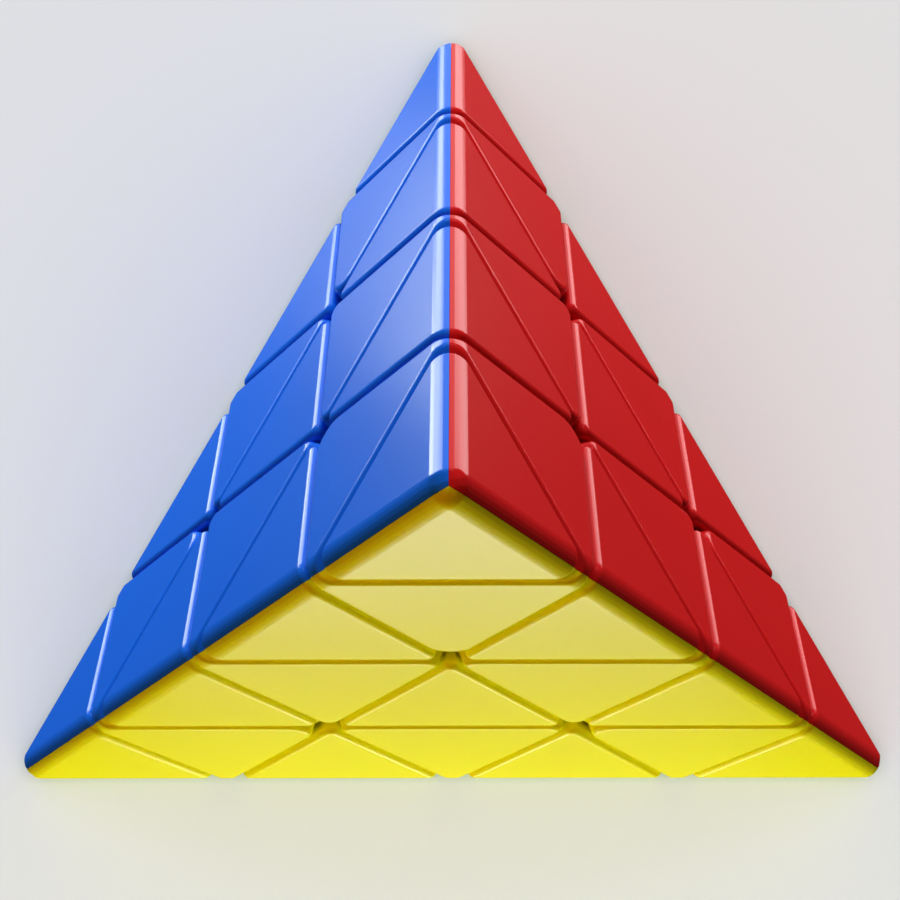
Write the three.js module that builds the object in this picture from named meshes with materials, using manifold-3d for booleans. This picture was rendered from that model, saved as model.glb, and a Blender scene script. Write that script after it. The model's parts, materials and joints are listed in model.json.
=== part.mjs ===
// Four-layer pyramid twisty puzzle, in millimetres, +Z up.
//
// The origin is the centre of the core, which is also the centroid of the pyramid. The pyramid stands
// on one face, its apex points up, and its back vertex lies towards +Y. Every turn is about a line
// through the origin.
//
// Places are written in layer coordinates: four numbers, one for each vertex, that add up to 4. A
// vertex has 4 for itself and 0 for the others, and the origin is (1, 1, 1, 1). The planes where one
// coordinate is 1, 2 or 3 are the cuts between layers, and a plane where it is 0 is an outer face. A
// piece is the cell between two neighbouring whole numbers of each coordinate, named by its low corner:
// (2, 1, 0, 0) is the wing next to the first vertex, on the ridge that runs to the second.
import * as THREE from "three";
import { ConvexGeometry } from "three/addons/geometries/ConvexGeometry.js";
import { mergeVertices } from "three/addons/utils/BufferGeometryUtils.js";
import Module from "manifold-3d";

const wasm = await Module();
wasm.setup();

// ---- Driving dimensions -----------------------------------------------------------------------------

const CELL_EDGE = 25.5; // edge of one cell: a quarter of the sharp pyramid's edge
const LAYER = CELL_EDGE * Math.sqrt(2 / 3); // thickness of a layer
const FACE_LIFT = 0.2; // the outer layers are this much thicker
const FACE = LAYER + FACE_LIFT; // distance from the origin to an outer face
const GAP = 0.36; // between neighbouring pieces
const HALF_GAP = GAP / 2;
const FIT_GAP = 0.3; // radial clearance round screws and pins

const RIDGE_RADIUS = 2.1; // rounding of the pyramid's own ridges and vertices
const RIDGE_STEPS = 6;
const CORNER_RADIUS = 1.2; // rounding where two side walls of a piece meet
const AXIAL_CORNER_RADIUS = 2.5; // the same for the axials, the six-sided pieces under the tips
const CORNER_STEPS = 2;
const RIM_RADIUS = 0.65; // rounding between a side wall and the outer face
const RIM_STEPS = 1;

// The pieces interlock in shells round the origin. These are the spheres between the shells.
const CORE_RADIUS = 8.2;
const HOOK_INSIDE = CORE_RADIUS + FIT_GAP;
const HOOK_MIDDLE = 12;
const HOOK_OUTSIDE = 17;
const WING_FOOT_OUTSIDE = 20.5;

// In each shell the middle layers part along cones round the four turning axes, with these half angles.
// The change from one to the next is what hooks a piece under its neighbours.
const INNER_PARTING = THREE.MathUtils.degToRad(94);
const OUTER_PARTING = THREE.MathUtils.degToRad(84);
const WING_FOOT_ANGLE = THREE.MathUtils.degToRad(33); // the wings' feet lie inside this cone
const WING_NECK_ANGLE = THREE.MathUtils.degToRad(27); // and their necks inside this one
const NECK = 1.0; // how far a neck runs into the shells on both sides
const NECK_INSET = 0.3; // how far its sides stand back from the sides of the plates that it joins
const FOOT_INSET = 0.1; // the same for the feet under the cap pieces
const CAP_REACH = 28; // radius up to which necks run into the pieces above them

const ARM_RADIUS = 1.9;
const SCREW_RADIUS = 1.0;
const SCREW_START = 4.4; // all heights below are distances from the origin along an arm
const SCREW_HEAD_RADIUS = 2.8;
const SCREW_HEAD_BOTTOM = 33;
const SCREW_HEAD_TOP = 35;
const SOCKET_RADIUS = 1.3;
const SOCKET_DEPTH = 1.1;
const SOCKET_SIDES = 6;
const CHAMFER = 0.5; // at the ends of screw heads and pins

const CHAMBER_FLOOR = 27.5; // the chamber in each axial, with the spring and the screw head
const CHAMBER_TOP = 39.6;
const CHAMBER_RADIUS = 4.3;

const SPRING_WIRE_RADIUS = 0.36;
const SPRING_COIL_RADIUS = 2.3;
const SPRING_TURNS = 4;
const SPRING_STEPS = 10; // in each turn
const WIRE_SEGMENTS = 3; // in each half of the wire's round section
const SPRING_TOP = 31.8;
const WASHER_THICKNESS = 0.5;

const PIN_RADIUS = 2.85;
const PIN_HEAD_RADIUS = 3.9;
const PIN_BOTTOM = 37.7;
const PIN_HEAD_TOP = 39.3;
const PIN_HEAD_RIM = 0.4; // height of the upright part of the head, above its taper
const PIN_HEAD_TAPER = 0.8;
const PIN_TOP = 49.5;

const BALL_SEGMENTS = 16;
const ROUND_SEGMENTS = 14;
const STEEP_CONE_SEGMENTS = 20;
const FLAT_CONE_SEGMENTS = 8;
const OVERLAP = 1; // how far a cutting tool runs past the surfaces that it cuts
const MERGE_DISTANCE = 1e-4;
const TINY = 1e-6;

const BLUE = 0x2e6fe0;
const RED = 0xc22a30;
const YELLOW = 0xeee232;
const GREEN = 0x1f9a4c;
const DARK_PLASTIC = 0x2b2c30;
const WHITE_PLASTIC = 0xe6e6e2;
const STEEL = 0xb4b7bb;

// ---- Vertices and turning axes ----------------------------------------------------------------------

const VERTEX_NAMES = ["apex", "back", "left", "right"];
const TILT = (2 * Math.SQRT2) / 3; // a lower vertex lies at (TILT cos, TILT sin, -1/3)
const AXES = [
  new THREE.Vector3(0, 0, 1),
  ...[90, 210, 330].map((degrees) => {
    const turn = THREE.MathUtils.degToRad(degrees);
    return new THREE.Vector3(TILT * Math.cos(turn), TILT * Math.sin(turn), -1 / 3);
  }),
];
const FOUR = [0, 1, 2, 3];
const outerFaceNormal = (j) => AXES[j].clone().negate();

// ---- Solids -----------------------------------------------------------------------------------------

// A closed geometry as a solid, with its vertices merged and its empty triangles dropped.
function solid(geometry) {
  const bare = new THREE.BufferGeometry();
  bare.setAttribute("position", geometry.getAttribute("position"));
  if (geometry.index) bare.setIndex(geometry.index);
  const merged = mergeVertices(bare, MERGE_DISTANCE);
  const triangles = [];
  const index = merged.index.array;
  for (let i = 0; i < index.length; i += 3) {
    const [a, b, c] = [index[i], index[i + 1], index[i + 2]];
    if (a !== b && b !== c && c !== a) triangles.push(a, b, c);
  }
  const made = new wasm.Manifold(
    new wasm.Mesh({
      numProp: 3,
      vertProperties: new Float32Array(merged.attributes.position.array),
      triVerts: new Uint32Array(triangles),
    }),
  );
  if (made.volume() <= 0) throw new Error("a solid has its faces pointing inwards");
  return made;
}

function geometryOf(made) {
  const mesh = made.getMesh();
  const geometry = new THREE.BufferGeometry();
  geometry.setAttribute("position", new THREE.BufferAttribute(new Float32Array(mesh.vertProperties), 3));
  geometry.setIndex(new THREE.BufferAttribute(new Uint32Array(mesh.triVerts), 1));
  return geometry;
}

const join = (solids) => solids.reduce((sum, next) => sum.add(next));
const cut = (from, ...cutters) => cutters.reduce((rest, next) => rest.subtract(next), from);

// A ball whose facets stay inside the radius, and one to cut with, whose facets stay outside it.
const FACET_SHARE = Math.cos(Math.PI / BALL_SEGMENTS) ** 2;
const ball = (radius) => solid(new THREE.SphereGeometry(radius, BALL_SEGMENTS, BALL_SEGMENTS / 2));
const cuttingBall = (radius) => ball(radius / FACET_SHARE);
const shell = (inside, outside) => cut(ball(outside), cuttingBall(inside));

// A solid of revolution about a turning axis. The profile is a list of [radius, height along the axis]
// that starts and ends on the axis and rises.
function turned(axis, profile, segments = ROUND_SEGMENTS) {
  const points = profile.map(([radius, height]) => new THREE.Vector2(radius, height));
  const geometry = new THREE.LatheGeometry(points, segments);
  const turn = new THREE.Quaternion().setFromUnitVectors(new THREE.Vector3(0, 1, 0), axis);
  return solid(geometry.applyQuaternion(turn));
}

const rod = (axis, radius, bottom, top) =>
  turned(axis, [[0, bottom], [radius, bottom], [radius, top], [0, top]]);

// The inside of a cone round an axis, out to a radius, with its wall moved outwards by offset. A cone
// that is nearly flat needs fewer facets to stay true.
function cone(axis, halfAngle, offset, radius) {
  const tip = -offset / Math.sin(halfAngle);
  const rim = tip + radius / Math.tan(halfAngle);
  const top = Math.max(rim, radius) + OVERLAP;
  const segments = halfAngle > Math.PI / 3 ? FLAT_CONE_SEGMENTS : STEEP_CONE_SEGMENTS;
  return turned(axis, [[0, tip], [radius, rim], [radius, top], [0, top]], segments);
}

// ---- The outer form ---------------------------------------------------------------------------------

// The pyramid with rounded ridges: the hull of arcs round each ridge, at the ridge's two ends.
function roundedPyramid() {
  const points = [];
  const centreDistance = 3 * (FACE - RIDGE_RADIUS);
  for (const vertex of FOUR) {
    const centre = AXES[vertex].clone().multiplyScalar(centreDistance);
    const faces = FOUR.filter((j) => j !== vertex);
    const [a, b, c] = faces.map(outerFaceNormal);
    for (let i = 0; i <= RIDGE_STEPS; i++)
      for (let j = 0; j <= RIDGE_STEPS - i; j++) {
        const direction = slerpThree(a, b, c, i, j, RIDGE_STEPS - i - j);
        points.push(direction.multiplyScalar(RIDGE_RADIUS).add(centre));
      }
  }
  return solid(new ConvexGeometry(points));
}

// A direction between three normals. On the arc between two of them the steps are of equal angle.
function slerpThree(a, b, c, i, j, k) {
  const angle = a.angleTo(b);
  const weight = (n) => Math.sin((angle * n) / RIDGE_STEPS);
  return new THREE.Vector3()
    .addScaledVector(a, weight(i))
    .addScaledVector(b, weight(j))
    .addScaledVector(c, weight(k))
    .normalize();
}

// ---- Cells ------------------------------------------------------------------------------------------

// The corners of the cell with this low corner.
function cellCorners(low) {
  const corners = [];
  for (let bits = 0; bits < 16; bits++) {
    const corner = low.map((value, j) => value + ((bits >> j) & 1));
    if (corner.reduce((sum, value) => sum + value) === 4) corners.push(corner);
  }
  return corners;
}

// The planes that bound a cell, each as an outward normal and its distance from the origin.
function cellPlanes(low) {
  const corners = cellCorners(low);
  const planes = [];
  for (const j of FOUR)
    for (const side of [0, 1]) {
      const coordinate = low[j] + side;
      const touching = corners.filter((corner) => corner[j] === coordinate);
      if (touching.length < 3) continue;
      const outer = coordinate === 0;
      const sign = side ? 1 : -1;
      planes.push({
        normal: AXES[j].clone().multiplyScalar(sign),
        distance: sign * (coordinate - 1) * LAYER + (outer ? FACE_LIFT : -HALF_GAP),
        outer,
        touching,
      });
    }
  return planes;
}

// Whether a corner lies inside a face of the pyramid, where just one coordinate is 0.
const awayFromRidges = (corner) => corner.filter((value) => value === 0).length === 1;

// Planes that touch a rounding of this radius along the edge between two planes.
function roundingPlanes(a, b, radius, steps) {
  const angle = a.normal.angleTo(b.normal);
  const planes = [];
  for (let i = 1; i <= steps; i++) {
    const normal = new THREE.Vector3()
      .addScaledVector(a.normal, Math.sin((angle * (steps + 1 - i)) / (steps + 1)))
      .addScaledVector(b.normal, Math.sin((angle * i) / (steps + 1)))
      .normalize();
    // the rounding's centre line passes through the point p a.normal + q b.normal
    const [da, db] = [a.distance - radius, b.distance - radius];
    const cos = Math.cos(angle);
    const p = (da - db * cos) / (1 - cos * cos);
    const q = (db - da * cos) / (1 - cos * cos);
    const centre = new THREE.Vector3().addScaledVector(a.normal, p).addScaledVector(b.normal, q);
    planes.push({ normal, distance: normal.dot(centre) + radius });
  }
  return planes;
}

const sharedCorners = (a, b) => a.touching.filter((corner) => b.touching.includes(corner));

// Planes that touch a cone round the corner of an outer facet where two walls meet in that corner only,
// and planes that round the cone's rim.
function bluntingPlanes(face, walls, radius) {
  const [flatA, flatB] = walls.map((wall) => wall.normal.clone().projectOnPlane(face.normal).normalize());
  const tilt = Math.asin(walls[0].normal.dot(face.normal));
  const [reachA, reachB] = walls.map(
    (wall) => (wall.distance - face.distance * Math.sin(tilt)) / Math.cos(tilt) - radius,
  );
  const rows = [face.normal, flatA, flatB].flatMap((direction) => direction.toArray());
  const centre = new THREE.Vector3(face.distance, reachA, reachB).applyMatrix3(
    new THREE.Matrix3().set(...rows).invert(),
  );
  const angle = flatA.angleTo(flatB);
  const planes = [];
  for (let i = 1; i <= CORNER_STEPS; i++) {
    const across = new THREE.Vector3()
      .addScaledVector(flatA, Math.sin((angle * (CORNER_STEPS + 1 - i)) / (CORNER_STEPS + 1)))
      .addScaledVector(flatB, Math.sin((angle * i) / (CORNER_STEPS + 1)))
      .normalize();
    const normal = new THREE.Vector3()
      .addScaledVector(across, Math.cos(tilt))
      .addScaledVector(face.normal, Math.sin(tilt));
    const touched = centre.clone().addScaledVector(across, radius);
    const plane = { normal, distance: normal.dot(touched) };
    planes.push(plane, ...roundingPlanes(face, plane, RIM_RADIUS, RIM_STEPS));
  }
  return planes;
}

// A cell as a convex solid with its upright corners and its rims rounded.
function cellSolid(low, cornerRadius) {
  const sharp = cellPlanes(low);
  const planes = [...sharp];
  sharp.forEach((a, i) =>
    sharp.slice(i + 1).forEach((b) => {
      if (sharedCorners(a, b).length !== 2 || (a.outer && b.outer)) return;
      if (a.outer || b.outer) planes.push(...roundingPlanes(a, b, RIM_RADIUS, RIM_STEPS));
      else planes.push(...roundingPlanes(a, b, cornerRadius, CORNER_STEPS));
    }),
  );
  for (const face of sharp.filter((plane) => plane.outer))
    for (const corner of face.touching.filter(awayFromRidges)) {
      const beside = (plane) => plane.touching.includes(corner) && sharedCorners(plane, face).length === 2;
      const walls = sharp.filter((plane) => !plane.outer && beside(plane));
      if (sharedCorners(...walls).length === 1) planes.push(...bluntingPlanes(face, walls, cornerRadius));
    }
  return solid(new ConvexGeometry(meetingPoints(planes)));
}

// The corners of the convex solid inside all the planes.
function meetingPoints(planes) {
  const points = [];
  const seen = new Set();
  const matrix = new THREE.Matrix3();
  for (let i = 0; i < planes.length; i++)
    for (let j = i + 1; j < planes.length; j++)
      for (let k = j + 1; k < planes.length; k++) {
        const [a, b, c] = [planes[i], planes[j], planes[k]];
        const rows = [a, b, c].flatMap((plane) => plane.normal.toArray());
        matrix.set(...rows);
        if (Math.abs(matrix.determinant()) < TINY) continue;
        const point = new THREE.Vector3(a.distance, b.distance, c.distance).applyMatrix3(matrix.invert());
        if (planes.some((plane) => plane.normal.dot(point) > plane.distance + TINY)) continue;
        const key = point.toArray().map((value) => Math.round(value * 1e3)).join();
        if (seen.has(key)) continue;
        seen.add(key);
        points.push(point);
      }
  return points;
}

// ---- Interlocking shells ----------------------------------------------------------------------------

// The part of a base solid that belongs to the middle layers of the member vertices and to no others,
// with the layers parted by planes through the origin, or by cones of the given half angle. Its walls
// stay half a gap, and a further inset, from the parting.
function wedge(base, members, parting, inset = 0) {
  const clearance = HALF_GAP + inset;
  let rest = base;
  for (const j of FOUR) {
    const member = members.includes(j);
    if (parting === undefined) {
      const direction = member ? AXES[j] : outerFaceNormal(j);
      rest = rest.trimByPlane(direction.toArray(), clearance);
      continue;
    }
    const wide = parting > Math.PI / 2;
    const axis = wide ? outerFaceNormal(j) : AXES[j];
    const halfAngle = wide ? Math.PI - parting : parting;
    const keepInside = member !== wide;
    const wall = cone(axis, halfAngle, keepInside ? -clearance : clearance, 2 * HOOK_OUTSIDE);
    rest = keepInside ? rest.intersect(wall) : rest.subtract(wall);
  }
  return rest;
}

// The feet of a piece of the middle block: a plate in the outer hook shell, a wider or narrower one in
// the inner hook shell, and the necks that join them to each other and to the piece.
function hooks(members) {
  const outer = wedge(shell(HOOK_MIDDLE + HALF_GAP, HOOK_OUTSIDE - HALF_GAP), members, OUTER_PARTING);
  if (members.length === 1) return outer;
  const inner = wedge(shell(HOOK_INSIDE, HOOK_MIDDLE - HALF_GAP), members, INNER_PARTING);
  const lowerNeck = shell(HOOK_MIDDLE - NECK, HOOK_MIDDLE + NECK);
  const upperNeck = shell(HOOK_OUTSIDE - NECK, HOOK_OUTSIDE + NECK);
  return join([
    outer,
    inner,
    wedge(wedge(lowerNeck, members, INNER_PARTING, NECK_INSET), members, OUTER_PARTING, NECK_INSET),
    wedge(wedge(upperNeck, members, OUTER_PARTING, NECK_INSET), members, undefined, NECK_INSET),
  ]);
}

// The space inside the cap of one vertex, below the flat cut: the wings' feet and necks fill it.
function footSpace(vertex, offset) {
  const round = offset > 0 ? cuttingBall : ball;
  const foot = round(WING_FOOT_OUTSIDE + offset).intersect(
    cone(AXES[vertex], WING_FOOT_ANGLE, offset, CAP_REACH),
  );
  const neck = ball(CAP_REACH).intersect(cone(AXES[vertex], WING_NECK_ANGLE, offset, CAP_REACH));
  const floor = HOOK_OUTSIDE - offset;
  return cut(foot.add(neck), offset > 0 ? ball(floor) : cuttingBall(floor));
}

const PYRAMID = roundedPyramid();
const FOOT_SPACES = FOUR.map((vertex) => footSpace(vertex, -HALF_GAP));
const FOOT_CUTTERS = FOUR.map((vertex) => footSpace(vertex, HALF_GAP));

// ---- Pieces -----------------------------------------------------------------------------------------

const lowCorner = (counts) => FOUR.map((j) => counts[j] ?? 0);
const outerCell = (low, cornerRadius = CORNER_RADIUS) => cellSolid(low, cornerRadius).intersect(PYRAMID);

function middlePiece(members) {
  const low = lowCorner(Object.fromEntries(members.map((j) => [j, 1])));
  const body = cut(outerCell(low), cuttingBall(HOOK_OUTSIDE + HALF_GAP));
  return cut(body.add(hooks(members)), ...members.map((j) => FOOT_CUTTERS[j]));
}

const screwHole = (vertex) => rod(AXES[vertex], SCREW_RADIUS + FIT_GAP, SCREW_START - OVERLAP, CHAMBER_TOP);
const innerCorner = (vertex) => cut(hooks([vertex]), screwHole(vertex));

function wing(near, far) {
  const foot = wedge(FOOT_SPACES[near], [near, far], undefined, FOOT_INSET);
  return outerCell(lowCorner({ [near]: 2, [far]: 1 })).add(foot);
}

function axial(vertex) {
  const axis = AXES[vertex];
  const plug = wedge(FOOT_SPACES[vertex], [vertex], undefined, FOOT_INSET);
  const chamber = rod(axis, CHAMBER_RADIUS, CHAMBER_FLOOR, CHAMBER_TOP);
  const collar = rod(axis, PIN_RADIUS + FIT_GAP, CHAMBER_TOP - OVERLAP, 2 * LAYER + OVERLAP);
  const body = outerCell(lowCorner({ [vertex]: 2 }), AXIAL_CORNER_RADIUS).add(plug);
  return cut(body, screwHole(vertex), chamber, collar);
}

function tip(vertex) {
  const socket = rod(AXES[vertex], PIN_RADIUS + FIT_GAP, 2 * LAYER - OVERLAP, PIN_TOP + FIT_GAP);
  return cut(outerCell(lowCorner({ [vertex]: 3 })), socket);
}

function core() {
  const arms = AXES.map((axis) => rod(axis, ARM_RADIUS, 0, HOOK_MIDDLE - HALF_GAP));
  return cut(join([ball(CORE_RADIUS), ...arms]), ...FOUR.map(screwHole));
}

function coreScrew(vertex) {
  const profile = [
    [0, SCREW_START],
    [SCREW_RADIUS, SCREW_START + SCREW_RADIUS],
    [SCREW_RADIUS, SCREW_HEAD_BOTTOM],
    [SCREW_HEAD_RADIUS, SCREW_HEAD_BOTTOM],
    [SCREW_HEAD_RADIUS, SCREW_HEAD_TOP - CHAMFER],
    [SCREW_HEAD_RADIUS - CHAMFER, SCREW_HEAD_TOP],
    [0, SCREW_HEAD_TOP],
  ];
  const socket = turned(
    AXES[vertex],
    [
      [0, SCREW_HEAD_TOP - SOCKET_DEPTH],
      [SOCKET_RADIUS, SCREW_HEAD_TOP - SOCKET_DEPTH],
      [SOCKET_RADIUS, SCREW_HEAD_TOP + OVERLAP],
      [0, SCREW_HEAD_TOP + OVERLAP],
    ],
    SOCKET_SIDES,
  );
  return cut(turned(AXES[vertex], profile), socket);
}

class Coil extends THREE.Curve {
  getPoint(share, target = new THREE.Vector3()) {
    const angle = share * SPRING_TURNS * 2 * Math.PI;
    const bottom = CHAMBER_FLOOR + SPRING_WIRE_RADIUS + FIT_GAP / 2;
    const height = bottom + share * (SPRING_TOP - SPRING_WIRE_RADIUS - bottom);
    return target.set(SPRING_COIL_RADIUS * Math.cos(angle), height, SPRING_COIL_RADIUS * Math.sin(angle));
  }
}

function coreSpring(vertex) {
  const wire = new THREE.Shape();
  wire.absarc(0, 0, SPRING_WIRE_RADIUS, 0, 2 * Math.PI, false);
  const geometry = new THREE.ExtrudeGeometry(wire, {
    extrudePath: new Coil(),
    steps: SPRING_TURNS * SPRING_STEPS,
    curveSegments: WIRE_SEGMENTS,
    bevelEnabled: false,
  });
  const turn = new THREE.Quaternion().setFromUnitVectors(new THREE.Vector3(0, 1, 0), AXES[vertex]);
  return solid(geometry.applyQuaternion(turn));
}

function springWasher(vertex) {
  const top = SCREW_HEAD_BOTTOM - FIT_GAP;
  const disc = rod(AXES[vertex], SCREW_HEAD_RADIUS, top - WASHER_THICKNESS, top);
  return cut(disc, screwHole(vertex));
}

function tipPin(vertex) {
  return turned(AXES[vertex], [
    [0, PIN_BOTTOM],
    [PIN_HEAD_RADIUS - PIN_HEAD_TAPER, PIN_BOTTOM],
    [PIN_HEAD_RADIUS, PIN_HEAD_TOP - PIN_HEAD_RIM],
    [PIN_HEAD_RADIUS, PIN_HEAD_TOP],
    [PIN_RADIUS, PIN_HEAD_TOP],
    [PIN_RADIUS, PIN_TOP - CHAMFER],
    [PIN_RADIUS - CHAMFER, PIN_TOP],
    [0, PIN_TOP],
  ]);
}

// ---- Assembly ---------------------------------------------------------------------------------------

const plastic = (colour) =>
  new THREE.MeshStandardMaterial({ color: colour, roughness: 0.32, metalness: 0 });
const metal = () => new THREE.MeshStandardMaterial({ color: STEEL, roughness: 0.3, metalness: 1 });
// the colour of the outer face that lies opposite each vertex
const FACE_COLOURS = [GREEN, YELLOW, RED, BLUE];

const puzzle = new THREE.Group();
function place(name, made, material) {
  const mesh = new THREE.Mesh(geometryOf(made), material);
  mesh.name = name;
  puzzle.add(mesh);
}

// A piece with the colour of one of its outer faces.
function placePiece(name, made, counts) {
  place(name, made, plastic(FACE_COLOURS[lowCorner(counts).lastIndexOf(0)]));
}

place("core", core(), plastic(WHITE_PLASTIC));
for (const j of FOUR) {
  const name = VERTEX_NAMES[j];
  placePiece(`tip_${name}`, tip(j), { [j]: 3 });
  placePiece(`axial_${name}`, axial(j), { [j]: 2 });
  place(`inner_corner_${name}`, innerCorner(j), plastic(DARK_PLASTIC));
  place(`core_screw_${name}`, coreScrew(j), metal());
  place(`core_spring_${name}`, coreSpring(j), metal());
  place(`spring_washer_${name}`, springWasher(j), metal());
  place(`tip_pin_${name}`, tipPin(j), plastic(DARK_PLASTIC));
  const others = FOUR.filter((k) => k !== j);
  const face = others.map((k) => VERTEX_NAMES[k]).join("_");
  place(`face_centre_${face}`, middlePiece(others), plastic(FACE_COLOURS[j]));
  for (const k of others) {
    const pair = `${name}_${VERTEX_NAMES[k]}`;
    placePiece(`wing_${pair}`, wing(j, k), { [j]: 2, [k]: 1 });
    if (k > j) placePiece(`middle_edge_${pair}`, middlePiece([j, k]), { [j]: 1, [k]: 1 });
  }
}

export default puzzle;
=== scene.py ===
import itertools
import json
import math

import bmesh
import bpy
import numpy as np
from mathutils import Matrix, Vector

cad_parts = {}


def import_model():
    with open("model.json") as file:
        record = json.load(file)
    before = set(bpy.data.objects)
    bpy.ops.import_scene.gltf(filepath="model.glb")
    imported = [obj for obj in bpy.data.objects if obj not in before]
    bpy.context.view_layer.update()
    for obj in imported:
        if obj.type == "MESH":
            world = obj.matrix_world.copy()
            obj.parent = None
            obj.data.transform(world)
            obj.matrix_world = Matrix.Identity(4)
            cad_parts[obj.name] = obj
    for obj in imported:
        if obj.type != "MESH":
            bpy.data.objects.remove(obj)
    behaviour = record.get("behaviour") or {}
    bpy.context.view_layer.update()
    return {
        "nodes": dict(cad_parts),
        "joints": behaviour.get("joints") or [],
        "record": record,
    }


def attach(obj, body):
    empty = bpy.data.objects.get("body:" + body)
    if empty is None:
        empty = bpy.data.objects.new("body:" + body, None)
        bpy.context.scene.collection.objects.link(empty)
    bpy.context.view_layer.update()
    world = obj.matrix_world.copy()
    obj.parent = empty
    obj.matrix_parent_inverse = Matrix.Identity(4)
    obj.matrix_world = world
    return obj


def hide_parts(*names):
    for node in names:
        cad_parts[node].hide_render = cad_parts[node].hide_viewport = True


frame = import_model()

MM = 0.001
VERTICES = ["apex", "back", "left", "right"]
FOUR = range(4)


def joint_axis(name):
    return next(np.array(j["axis"], float) for j in frame["joints"] if j["name"] == name)


def mount_place(name):
    return next(np.array(m["pos_m"], float) for m in frame["record"]["mounts"] if m["name"] == name)


AXES = [joint_axis(f"cap_turn_{vertex}") for vertex in VERTICES]
FACE = float(np.linalg.norm(mount_place("base_face")))  # an outer face's distance from the origin

# The face opposite each vertex.
COLOURS = ["green", "yellow", "red", "blue"]

FACE_LIFT = 0.2 * MM  # the outer layers are this much thicker than the others
LAYER = FACE - FACE_LIFT
GAP = 0.36 * MM
RIDGE_RADIUS = 2.1 * MM
CORNER_RADIUS = 1.2 * MM  # the rounded corners of a facet inside a face
AXIAL_CORNER_RADIUS = 2.5 * MM  # the same for the axial pieces
RIM_RADIUS = 0.7 * MM  # the rounded rims of every piece
LEDGE_DEPTH = 1.4 * MM  # below the face, the corners are filled out again
LEDGE_CORNER_RADIUS = 0.75 * MM
AXIAL_LEDGE_RADIUS = 1.6 * MM
LEDGE_INSET = 0.03 * MM  # the filled-out part stands this much behind the walls above it
SEAM = 0.03 * MM  # between the coloured shells of one piece

# How finely the rounded parts are divided.
RIDGE_STEPS = 9
CORNER_STEPS = 8
FILLET_STEP = math.radians(16)
FLAT_ANGLE = math.radians(0.3)  # facets that differ by less are joined
SHARP_ANGLE = math.radians(32)  # edges that turn by more stay sharp in the shading

# The sphere inside which the dark mechanism takes over, and the space of the feet under a cap.
INNER_BALL = 19.5 * MM
FOOT_FLOOR = 17.0 * MM
FOOT_TOP = 20.5 * MM
FOOT_ANGLE = math.radians(33)
NECK_ANGLE = math.radians(27)
NECK_REACH = 28.0 * MM
FOOT_CLEARANCE = 0.1 * MM  # a foot keeps this much more than half a gap from the cuts beside it

# The spring chamber and the holes in the tips and axials, as places along a turning axis.
CHAMBER_RADIUS = 4.3 * MM
CHAMBER_FLOOR = 27.5 * MM
CHAMBER_TOP = 39.6 * MM
SCREW_HOLE_RADIUS = 1.3 * MM
PIN_HOLE_RADIUS = 3.15 * MM
PIN_HOLE_TOP = 49.8 * MM
OVERCUT = 1 * MM  # a hole's cutter reaches this far past the plastic
BLOCK_SIZE = 0.3  # of the blocks that stand for half of space

# Tolerances for working out a cell's corners: lengths in metres, an angle in radians and a determinant.
SAME_POINT = 1e-7
ON_A_PLANE = 2e-8
WELDED = 1e-8
ROUNDING_ERROR = 1e-9
NO_ANGLE = 1e-9
NEARLY_PARALLEL = 1e-5

# The lights, in metres and watts. The surfaces that the camera sees mirror what lies below the horizon,
# so most of the lights stand lower than the floor. Lamps: name, place, size, power, colour.
NEUTRAL = (1, 1, 1)
CREAM = (0.97, 1.0, 0.75)
AMBER = (1.0, 0.38, 0.05)
LAMPS = [
    ("key_left", (-0.155, 0.144, -0.061), (0.12, 0.10), 0.49, NEUTRAL),
    ("key_right", (0.221, 0.185, -0.083), (0.16, 0.12), 0.84, NEUTRAL),
    ("back", (0, 0.38, 0.16), (0.30, 0.12), 1.5, NEUTRAL),
    ("front", (0, -0.17, -0.09), (0.20, 0.08), 0.55, NEUTRAL),
    ("warm", (-0.20, -0.04, 0.33), (0.10, 0.10), 0.34, AMBER),
]
FLOOR_LAMP = ("overhead", (0, 0, 1.5), (3.0, 3.0), 60.0, NEUTRAL)
# Reflectors: name, azimuth and elevation in degrees, distance, size, power, colour.
REFLECTORS = [
    ("glow_left", 127, -24.6, 0.57, (0.35, 0.35), 1.95, CREAM),
    ("haze_left", 136, -42, 0.56, (0.08, 0.16), 0.145, CREAM),
    ("glow_middle", 90, -30, 0.52, (0.22, 0.25), 0.13, NEUTRAL),
    ("glow_right", 57.9, -30.6, 0.5, (0.306, 0.21), 0.53, NEUTRAL),
    ("glow_front", -90.5, -40, 0.307, (0.142, 0.026), 0.066, NEUTRAL),
]
SURROUND = 0.055  # the strength of the even light from all round
SURROUND_REFLECTED = 0.02  # and what of it shows in reflections
SURROUND_COLOUR = (1.0, 0.70, 0.42, 1)
BACKDROP_COLOUR = (0.72, 0.73, 0.75, 1)

FLOOR_HALF_SIZE = 0.8
FLOOR_DROP = 0.05 * MM  # the floor lies this much below the face that rests on it
FLOOR_COLOUR = (0.62, 0.63, 0.64, 1)
FLOOR_ROUGHNESS = 0.85

# The camera is almost straight above the apex, with the back vertex at the top of the picture. Its places
# are in cell edges.
CAMERA_PLACE = (0.0311, -0.3827, 9.2222)
CAMERA_TARGET = (-0.0046, 0.2767, 0)
CAMERA_ROLL = math.radians(-0.1)
LENS = 88.94
SENSOR_WIDTH = 36
CLIP_START = 0.01


# ---- Cells and their planes ----------------------------------------------------------------------

def unit(vector):
    return vector / np.linalg.norm(vector)


def turned_between(a, b, share):
    """The direction that is this share of the way from direction a to direction b."""
    angle = math.acos(max(-1.0, min(1.0, float(a @ b))))
    if angle < NO_ANGLE:
        return a
    return (math.sin((1 - share) * angle) * a + math.sin(share * angle) * b) / math.sin(angle)


def cell_corners(low):
    corners = (tuple(v + s for v, s in zip(low, steps)) for steps in itertools.product((0, 1), repeat=4))
    return [corner for corner in corners if sum(corner) == 4]


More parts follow.
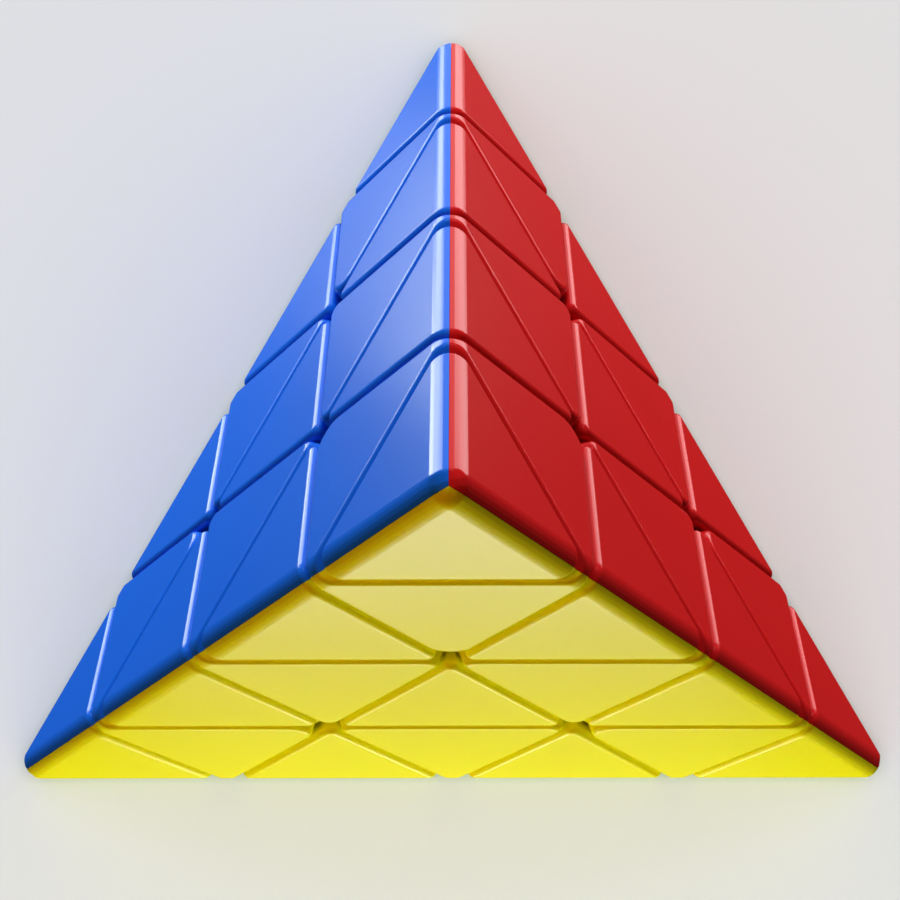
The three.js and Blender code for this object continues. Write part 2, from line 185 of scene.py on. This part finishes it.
def cell_planes(low, inset, sink):
    """The planes that bound a cell: (outward normal, distance, corners, index of outer face or None)."""
    planes = []
    for j in FOUR:
        for side, sign in ((0, -1), (1, 1)):
            coordinate = low[j] + side
            corners = [corner for corner in cell_corners(low) if corner[j] == coordinate]
            if len(corners) < 3:
                continue
            if coordinate == 0:
                planes.append((-AXES[j], FACE - sink, corners, j))
            else:
                distance = sign * (coordinate - 1) * LAYER - GAP / 2 - inset
                planes.append((sign * AXES[j], distance, corners, None))
    return planes


def ridge_planes(outer, sink):
    """Planes that touch the rounding of the pyramid's ridges and vertices between these outer faces."""
    found = []
    for a, b in itertools.combinations(outer, 2):
        normals = [turned_between(-AXES[a], -AXES[b], i / RIDGE_STEPS) for i in range(1, RIDGE_STEPS)]
        cosine = AXES[a] @ AXES[b]
        centre = -(AXES[a] + AXES[b]) * (FACE - RIDGE_RADIUS) / (1 + cosine)
        found += [(n, n @ centre + RIDGE_RADIUS - sink) for n in normals]
    if len(outer) == 3:
        vertex = next(j for j in FOUR if j not in outer)
        centre = AXES[vertex] * 3 * (FACE - RIDGE_RADIUS)
        a, b, c = (-AXES[j] for j in outer)
        for i in range(1, RIDGE_STEPS):
            across = turned_between(a, b, i / RIDGE_STEPS)
            for k in range(1, RIDGE_STEPS - i):
                n = turned_between(across, c, k / (RIDGE_STEPS - i + 1))
                found.append((n, n @ centre + RIDGE_RADIUS - sink))
    return found


def corner_planes(planes, face, radius, sink):
    """Planes that touch a cone which rounds a facet's corners on an outer face, away from the ridges."""
    normal = -AXES[face]
    height = FACE - sink
    facet = next(p[2] for p in planes if p[3] == face)
    found = []
    for corner in facet:
        inner = [p for p in planes if p[3] is None and corner in p[2]]
        walls = [p for p in inner if len(set(p[2]) & set(facet)) >= 2]
        if sum(value == 0 for value in corner) != 1 or len(walls) != 2:
            continue
        flat = [unit(p[0] - (p[0] @ normal) * normal) for p in walls]
        tilt = math.asin(float(walls[0][0] @ normal))
        reach = [(p[1] - height * math.sin(tilt)) / math.cos(tilt) - radius for p in walls]
        centre = np.linalg.solve(np.array([normal, *flat]), np.array([height, *reach]))
        for i in range(1, CORNER_STEPS):
            across = turned_between(flat[0], flat[1], i / CORNER_STEPS)
            n = math.cos(tilt) * across + math.sin(tilt) * normal
            found.append((n, n @ (centre + radius * across)))
    return found


def meeting_points(normals, distances):
    """The corners of the convex solid inside all the planes, each with the planes that meet there."""
    triples = np.array(list(itertools.combinations(range(len(normals)), 3)))
    matrices = normals[triples]
    usable = np.abs(np.linalg.det(matrices)) > NEARLY_PARALLEL
    triples, matrices = triples[usable], matrices[usable]
    points = np.linalg.solve(matrices, distances[triples][..., None])[..., 0]
    inside = (points @ normals.T <= distances + ROUNDING_ERROR).all(axis=1)
    _, first = np.unique(np.round(points[inside] / SAME_POINT), axis=0, return_index=True)
    corners = []
    for point in points[inside][first]:
        touching = np.nonzero(np.abs(normals @ point - distances) < ON_A_PLANE)[0]
        corners.append((point, touching))
    return corners


def cap_directions(normals):
    """Directions that cover the rounded corner between these planes."""
    middle = unit(normals.sum(axis=0))
    slanted = [0.3, 0.5, 0.8]  # no corner points this way
    side = unit(np.cross(middle, slanted))
    other = np.cross(middle, side)
    around = sorted(normals, key=lambda n: math.atan2(n @ other, n @ side))
    directions = []
    for a, b in zip(around, around[1:] + around[:1]):
        angle = math.acos(max(-1.0, min(1.0, float(a @ b))))
        steps = max(1, math.ceil(angle / FILLET_STEP))
        directions += [turned_between(a, b, i / steps) for i in range(steps)]
    if min(float(middle @ d) for d in directions) < math.cos(2 * FILLET_STEP):
        rings = (1 / 3, 2 / 3)
        directions += [turned_between(middle, d, share) for d in list(directions) for share in rings]
        directions.append(middle)
    return directions


def rounded_cell(low, corner_radius, inset=0.0, sink=0.0):
    """A cell with all its edges rounded, as a new mesh object: the hull of a small ball at every corner
    of the cell set in by the ball's radius."""
    planes = cell_planes(low, inset, sink)
    outer = [p[3] for p in planes if p[3] is not None]
    bounds = [(p[0], p[1]) for p in planes] + ridge_planes(outer, sink)
    for face in outer:
        bounds += corner_planes(planes, face, corner_radius, sink)
    normals = np.array([b[0] for b in bounds])
    distances = np.array([b[1] for b in bounds]) - RIM_RADIUS
    points = []
    for point, touching in meeting_points(normals, distances):
        points += [point + RIM_RADIUS * d for d in cap_directions(normals[touching])]
    points = np.unique(np.round(np.array(points) / WELDED), axis=0) * WELDED
    bm = bmesh.new()
    for point in points:
        bm.verts.new(point)
    bmesh.ops.convex_hull(bm, input=bm.verts)
    bmesh.ops.delete(bm, geom=[v for v in bm.verts if not v.link_faces], context="VERTS")
    bmesh.ops.recalc_face_normals(bm, faces=bm.faces)
    bmesh.ops.dissolve_limit(bm, angle_limit=FLAT_ANGLE, verts=bm.verts, edges=bm.edges)
    return object_of(bm, "cell")


# ---- Mesh helpers --------------------------------------------------------------------------------

def object_of(bm, name):
    mesh = bpy.data.meshes.new(name)
    bm.to_mesh(mesh)
    bm.free()
    made = bpy.data.objects.new(name, mesh)
    bpy.context.scene.collection.objects.link(made)
    return made


def combined(obj, tool, operation):
    """obj with the tool joined, cut away or kept inside. The tool stays."""
    modifier = obj.modifiers.new("combine", "BOOLEAN")
    modifier.operation = operation
    modifier.solver = "EXACT"
    modifier.object = tool
    bpy.context.view_layer.update()
    evaluated = obj.evaluated_get(bpy.context.evaluated_depsgraph_get())
    mesh = bpy.data.meshes.new_from_object(evaluated)
    obj.modifiers.clear()
    obj.data = mesh
    return obj


def copy_of(obj):
    made = bpy.data.objects.new(obj.name, obj.data.copy())
    bpy.context.scene.collection.objects.link(made)
    return made


def discard(*objects):
    for obj in objects:
        bpy.data.objects.remove(obj)


def axis_turn(axis):
    """The turn that takes +Z to an axis."""
    return Vector((0, 0, 1)).rotation_difference(Vector(axis)).to_matrix().to_4x4()


def turned_solid(axis, profile, segments=72):
    """A closed solid of revolution, from a (radius, height) profile that starts and ends on the axis."""
    bm = bmesh.new()
    verts = [bm.verts.new((radius, 0, height)) for radius, height in profile]
    for a, b in zip(verts, verts[1:]):
        bm.edges.new((a, b))
    bmesh.ops.spin(bm, geom=list(bm.verts) + list(bm.edges), cent=(0, 0, 0), axis=(0, 0, 1),
                   angle=2 * math.pi, steps=segments, use_merge=True)
    bmesh.ops.remove_doubles(bm, verts=bm.verts, dist=SAME_POINT)
    bmesh.ops.recalc_face_normals(bm, faces=bm.faces)
    bm.transform(axis_turn(axis))
    return object_of(bm, "turned")


def arc(radius, start, end, steps):
    """Profile points on a circle round the origin, at angles measured from the axis."""
    angles = (start + (end - start) * i / steps for i in range(steps + 1))
    return [(radius * math.sin(a), radius * math.cos(a)) for a in angles]


def foot_space(axis, clearance):
    """The space of the feet under a cap, with its walls moved outwards by a clearance."""
    foot_top = FOOT_TOP + clearance
    wide = clearance / foot_top
    profile = arc(FOOT_FLOOR - clearance, 0, FOOT_ANGLE + wide, 12)
    profile += arc(foot_top, FOOT_ANGLE + wide, NECK_ANGLE + wide, 6)
    profile += arc(NECK_REACH, NECK_ANGLE + wide, 0, 8)
    return turned_solid(axis, profile)


def rod(axis, radius, bottom, top):
    return turned_solid(axis, [(0, bottom), (radius, bottom), (radius, top), (0, top)], segments=48)


def ball(radius):
    return turned_solid(AXES[0], arc(radius, math.pi, 0, steps=48), segments=96)


def half_space(normal, distance):
    """A big block that fills the far side of a plane, where normal . x > distance."""
    bm = bmesh.new()
    bmesh.ops.create_cube(bm, size=BLOCK_SIZE)
    bm.transform(Matrix.Translation((0, 0, BLOCK_SIZE / 2 + distance)))
    bm.transform(axis_turn(normal))
    return object_of(bm, "half_space")


def cut_away(obj, *tools):
    for tool in tools:
        combined(obj, tool, "DIFFERENCE")
    discard(*tools)
    return obj


# ---- The five kinds of piece ---------------------------------------------------------------------

KINDS = {
    "tip": (3, 0, 0, 0),
    "axial": (2, 0, 0, 0),
    "wing": (2, 1, 0, 0),
    "middle_edge": (1, 1, 0, 0),
    "face_centre": (1, 1, 1, 0),
}


def kind_body(kind):
    """The coloured part of one kind of piece, before it is divided into its shells."""
    low = KINDS[kind]
    if kind == "axial":
        corner_radius, ledge_radius = AXIAL_CORNER_RADIUS, AXIAL_LEDGE_RADIUS
    else:
        corner_radius, ledge_radius = CORNER_RADIUS, LEDGE_CORNER_RADIUS
    body = rounded_cell(low, corner_radius)
    ledge = rounded_cell(low, ledge_radius, LEDGE_INSET, LEDGE_DEPTH)
    combined(body, ledge, "UNION")
    discard(ledge)
    axis = AXES[0]
    if kind == "tip":
        cut_away(body, rod(axis, PIN_HOLE_RADIUS, 2 * LAYER - OVERCUT, PIN_HOLE_TOP))
    if kind == "axial":
        cut_away(body, rod(axis, PIN_HOLE_RADIUS, CHAMBER_TOP - OVERCUT, 2 * LAYER + OVERCUT),
                 rod(axis, CHAMBER_RADIUS, CHAMBER_FLOOR, CHAMBER_TOP),
                 rod(axis, SCREW_HOLE_RADIUS, 0, CHAMBER_FLOOR + OVERCUT))
    if kind in ("middle_edge", "face_centre"):
        cut_away(body, ball(INNER_BALL))
    if kind == "middle_edge":
        cut_away(body, foot_space(AXES[0], GAP / 2), foot_space(AXES[1], GAP / 2))
    return body


def shells(kind):
    """One kind of piece as a coloured shell for each outer face, meeting where two faces are as near."""
    body = kind_body(kind)
    outer = [j for j in FOUR if KINDS[kind][j] == 0]
    made = {}
    for face in outer:
        shell = copy_of(body)
        for other in outer:
            if other != face:
                cut_away(shell, half_space(unit(AXES[face] - AXES[other]), -SEAM / 2))
        made[face] = shell.data
        discard(shell)
    discard(body)
    return made


def foot(kind):
    """The dark foot of a wing, or the plug under an axial piece."""
    members = [0, 1] if kind == "wing" else [0]
    body = foot_space(AXES[0], -GAP / 2)
    clear = GAP / 2 + FOOT_CLEARANCE
    for j in FOUR:
        if j == 0:
            cut_away(body, half_space(AXES[0], LAYER + GAP / 2 - LEDGE_INSET))
        elif j in members:
            cut_away(body, half_space(-AXES[j], -clear))
        else:
            cut_away(body, half_space(AXES[j], -clear))
    if kind == "axial":
        cut_away(body, rod(AXES[0], SCREW_HOLE_RADIUS, 0, CHAMBER_FLOOR))
    mesh = body.data
    discard(body)
    return mesh


# ---- Placing -------------------------------------------------------------------------------------

def even_turns():
    """The twelve ways to turn the pyramid onto itself, as a permutation of the vertices and a matrix.
    The outer products of the four axes with themselves add up to 4/3 of the identity, hence the 3/4."""
    found = []
    for order in itertools.permutations(FOUR):
        matrix = sum(0.75 * np.outer(AXES[order[i]], AXES[i]) for i in FOUR)
        if np.linalg.det(matrix) > 0:
            found.append((order, Matrix(matrix.tolist()).to_4x4()))
    return found


def places(kind):
    """Each place of a kind of piece, with one turn that takes the first place there."""
    seen = {}
    for order, matrix in even_turns():
        low = [0] * 4
        for i in FOUR:
            low[order[i]] = KINDS[kind][i]
        seen.setdefault(tuple(low), (order, matrix))
    return seen


def node_and_body(kind, low):
    named = [VERTICES[j] for j in sorted(FOUR, key=lambda j: -low[j]) if low[j]]
    node = "_".join([kind, *named])
    if kind == "tip":
        return node, f"corner_{named[0]}"
    if kind in ("axial", "wing"):
        return node, f"cap_{named[0]}"
    return node, "middle_block"


def piece(name, mesh, matrix, material, node, body):
    data = mesh.copy()
    data.transform(matrix)
    data.name = name
    data.materials.clear()
    data.materials.append(material)
    data.polygons.foreach_set("use_smooth", [True] * len(data.polygons))
    data.set_sharp_from_angle(angle=SHARP_ANGLE)
    obj = bpy.data.objects.new(name, data)
    bpy.context.scene.collection.objects.link(obj)
    weighted = obj.modifiers.new("weighted_normals", "WEIGHTED_NORMAL")
    weighted.keep_sharp = True
    weighted.weight = 100
    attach(obj, body)
    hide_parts(node)
    return obj


def hook_mesh(node):
    """The dark inner part of a piece of the middle block: its CAD solid inside the inner ball."""
    inner = copy_of(frame["nodes"][node])
    core_ball = ball(INNER_BALL - LEDGE_INSET)
    combined(inner, core_ball, "INTERSECT")
    mesh = inner.data
    discard(inner, core_ball)
    return mesh


# ---- Materials -----------------------------------------------------------------------------------

SCATTER_DEPTH = 1.0 * MM
SCATTER_REACH = (1.0, 0.6, 0.1)  # how deep red, green and blue light goes, as shares of that depth
NOISE_RANGE = (0.3, 0.7)  # nearly all values of a noise lie between these
SHADE_RANGE = (0.985, 1.015)
ROUGHNESS_SPREAD = 0.01
GRAIN_HEIGHT = 0.02 * MM

# How many lumps a noise has in a metre, for slow changes, for scuffs and for the grain of a mould.
SLOW_LUMPS = 60
SCUFF_LUMPS = 3000
POLISH_LUMPS = 4000
GRAIN_LUMPS = 5000


def new_material(name):
    material = bpy.data.materials.new(name)
    material.use_nodes = True
    nodes = material.node_tree.nodes
    return material, nodes, material.node_tree.links, nodes["Principled BSDF"]


def noise(nodes, links, scale, detail=2.0):
    """A noise that stays fixed to the object, with its scale in lumps for each metre."""
    place = nodes.new("ShaderNodeTexCoord")
    texture = nodes.new("ShaderNodeTexNoise")
    texture.inputs["Scale"].default_value = scale
    texture.inputs["Detail"].default_value = detail
    links.new(place.outputs["Object"], texture.inputs["Vector"])
    return texture.outputs["Fac"]


def between(nodes, links, value, low, high):
    """A noise's value, spread over the range from low to high."""
    ranged = nodes.new("ShaderNodeMapRange")
    ranged.inputs["From Min"].default_value, ranged.inputs["From Max"].default_value = NOISE_RANGE
    ranged.inputs["To Min"].default_value = low
    ranged.inputs["To Max"].default_value = high
    links.new(value, ranged.inputs["Value"])
    return ranged.outputs["Result"]


def plastic(name, colour, roughness=0.226, grain=0.02, specular=0.4, scattered=0.0):
    """Moulded plastic: a slow change of shade, a fine grain in the surface, and for a pale plastic a
    share of light that is scattered inside it."""
    material, nodes, links, shader = new_material(name)
    shade = nodes.new("ShaderNodeHueSaturation")
    shade.inputs["Color"].default_value = (*colour, 1)
    slow = noise(nodes, links, SLOW_LUMPS)
    links.new(between(nodes, links, slow, *SHADE_RANGE), shade.inputs["Value"])
    links.new(shade.outputs["Color"], shader.inputs["Base Color"])
    polish = noise(nodes, links, POLISH_LUMPS)
    low, high = roughness - ROUGHNESS_SPREAD, roughness + ROUGHNESS_SPREAD
    links.new(between(nodes, links, polish, low, high), shader.inputs["Roughness"])
    shader.inputs["Specular IOR Level"].default_value = specular
    shader.inputs["Subsurface Weight"].default_value = scattered
    shader.inputs["Subsurface Scale"].default_value = SCATTER_DEPTH
    shader.inputs["Subsurface Radius"].default_value = SCATTER_REACH
    bump = nodes.new("ShaderNodeBump")
    bump.inputs["Strength"].default_value = grain
    bump.inputs["Distance"].default_value = GRAIN_HEIGHT
    links.new(noise(nodes, links, GRAIN_LUMPS, detail=3), bump.inputs["Height"])
    links.new(bump.outputs["Normal"], shader.inputs["Normal"])
    return material


def steel(name, colour, smoothest, roughest):
    """Plated steel, scuffed unevenly."""
    material, nodes, links, shader = new_material(name)
    shader.inputs["Metallic"].default_value = 1
    shader.inputs["Base Color"].default_value = (*colour, 1)
    scuffs = noise(nodes, links, SCUFF_LUMPS, detail=3)
    links.new(between(nodes, links, scuffs, smoothest, roughest), shader.inputs["Roughness"])
    return material


FACE_PLASTICS = {
    "blue": plastic("blue_plastic", (0.006, 0.118, 0.71)),
    "red": plastic("red_plastic", (0.52, 0.009, 0.011)),
    "yellow": plastic("yellow_plastic", (0.90, 0.85, 0.004), scattered=0.3),
    "green": plastic("green_plastic", (0.008, 0.34, 0.06)),
}
DARK = plastic("dark_plastic", (0.022, 0.022, 0.026), roughness=0.42, grain=0.1)
WHITE = plastic("white_plastic", (0.72, 0.72, 0.70), roughness=0.4)
STEEL = steel("zinc_plated_steel", (0.55, 0.56, 0.58), 0.22, 0.4)


# ---- The puzzle ----------------------------------------------------------------------------------

def build_pieces():
    still = Matrix.Identity(4)
    for kind in KINDS:
        kind_shells = shells(kind)
        kind_foot = foot(kind) if kind in ("wing", "axial") else None
        for low, (order, matrix) in places(kind).items():
            node, body = node_and_body(kind, low)
            for face, mesh in kind_shells.items():
                colour = COLOURS[order[face]]
                plastic_of_face, slot = FACE_PLASTICS[colour], f"plastic_{colour}"
                piece(f"{node}_{colour}", mesh, matrix, plastic_of_face, node, body)
            if kind_foot:
                piece(f"{node}_foot", kind_foot, matrix, DARK, node, body)
            elif kind != "tip":
                piece(f"{node}_hooks", hook_mesh(node), still, DARK, node, body)


def dress_inner_parts():
    for name, obj in frame["nodes"].items():
        if name == "core":
            material = WHITE
        elif name.startswith(("core_", "spring_")):
            material = STEEL
        elif name.startswith(("inner_corner", "tip_pin")):
            material = DARK
        else:
            continue
        for material_slot in obj.material_slots:
            material_slot.material = material


# ---- Stage ---------------------------------------------------------------------------------------

def floor():
    """The floor neither throws light back nor stops it, so lights may also stand below it."""
    bm = bmesh.new()
    bmesh.ops.create_grid(bm, x_segments=1, y_segments=1, size=FLOOR_HALF_SIZE)
    bm.transform(Matrix.Translation((0, 0, -FACE - FLOOR_DROP)))
    made = object_of(bm, "floor")
    material, _, _, shader = new_material("pale_floor")
    shader.inputs["Base Color"].default_value = FLOOR_COLOUR
    shader.inputs["Roughness"].default_value = FLOOR_ROUGHNESS
    made.data.materials.append(material)
    made.visible_diffuse = False
    made.visible_glossy = False
    made.visible_shadow = False
    return made


def area_light(name, place, size, power, colour):
    """A rectangular light that faces the puzzle's centre."""
    data = bpy.data.lights.new(name, "AREA")
    data.shape = "RECTANGLE"
    data.size, data.size_y = size
    data.energy = power
    data.color = colour
    made = bpy.data.objects.new(name, data)
    bpy.context.scene.collection.objects.link(made)
    aim = -Vector(place)
    made.matrix_world = Matrix.Translation(place) @ aim.to_track_quat("-Z", "Y").to_matrix().to_4x4()
    made.visible_camera = False
    return made


def lamp(name, place, size, power, colour):
    """A soft light that shades the puzzle and doesn't show as a reflection."""
    made = area_light(name, place, size, power, colour)
    made.visible_glossy = False
    return made


def reflector(name, azimuth, elevation, distance, size, power, colour):
    """A soft light that only shows as a reflection, in a direction from the centre in degrees."""
    a, e = math.radians(azimuth), math.radians(elevation)
    place = Vector((math.cos(a) * math.cos(e), math.sin(a) * math.cos(e), math.sin(e))) * distance
    made = area_light(name, place, size, power, colour)
    made.visible_diffuse = False
    return made


def world():
    """A warm surround that lights everything a little, and a pale backdrop that only the camera sees."""
    made = bpy.data.worlds.new("studio")
    bpy.context.scene.world = made
    made.use_nodes = True
    nodes, links = made.node_tree.nodes, made.node_tree.links
    ray = nodes.new("ShaderNodeLightPath")
    strength = nodes.new("ShaderNodeMapRange")
    strength.inputs["To Min"].default_value = SURROUND
    strength.inputs["To Max"].default_value = SURROUND_REFLECTED
    links.new(ray.outputs["Is Glossy Ray"], strength.inputs["Value"])
    surround = nodes["Background"]
    surround.inputs["Color"].default_value = SURROUND_COLOUR
    links.new(strength.outputs["Result"], surround.inputs["Strength"])
    backdrop = nodes.new("ShaderNodeBackground")
    backdrop.inputs["Color"].default_value = BACKDROP_COLOUR
    seen = nodes.new("ShaderNodeMixShader")
    links.new(ray.outputs["Is Camera Ray"], seen.inputs["Fac"])
    links.new(surround.outputs["Background"], seen.inputs[1])
    links.new(backdrop.outputs["Background"], seen.inputs[2])
    links.new(seen.outputs["Shader"], nodes["World Output"].inputs["Surface"])


def link_floor(light, ground, state):
    """Keep a light off the floor (EXCLUDE), or let it light nothing else (INCLUDE)."""
    group = bpy.data.collections.new(f"{light.name}_floor")
    group.objects.link(ground)
    group.collection_objects[0].light_linking.link_state = state
    light.light_linking.receiver_collection = group


def lights(ground):
    for settings in LAMPS:
        link_floor(lamp(*settings), ground, "EXCLUDE")
    for settings in REFLECTORS:
        link_floor(reflector(*settings), ground, "EXCLUDE")
    link_floor(lamp(*FLOOR_LAMP), ground, "INCLUDE")


def camera():
    data = bpy.data.cameras.new("camera")
    data.lens = LENS
    data.sensor_width = SENSOR_WIDTH
    data.clip_start = CLIP_START
    view = bpy.data.objects.new("camera", data)
    bpy.context.scene.collection.objects.link(view)
    cell_edge = LAYER / math.sqrt(2 / 3)
    place = Vector(CAMERA_PLACE) * cell_edge
    back = (place - Vector(CAMERA_TARGET) * cell_edge).normalized()
    right = Vector((math.cos(CAMERA_ROLL), math.sin(CAMERA_ROLL), 0))
    up = back.cross(right).normalized()
    turn = Matrix((up.cross(back), up, back)).transposed()
    view.matrix_world = Matrix.Translation(place) @ turn.to_4x4()
    bpy.context.scene.camera = view


build_pieces()
dress_inner_parts()
world()
lights(floor())
camera()
bpy.context.scene.view_settings.view_transform = "Standard"
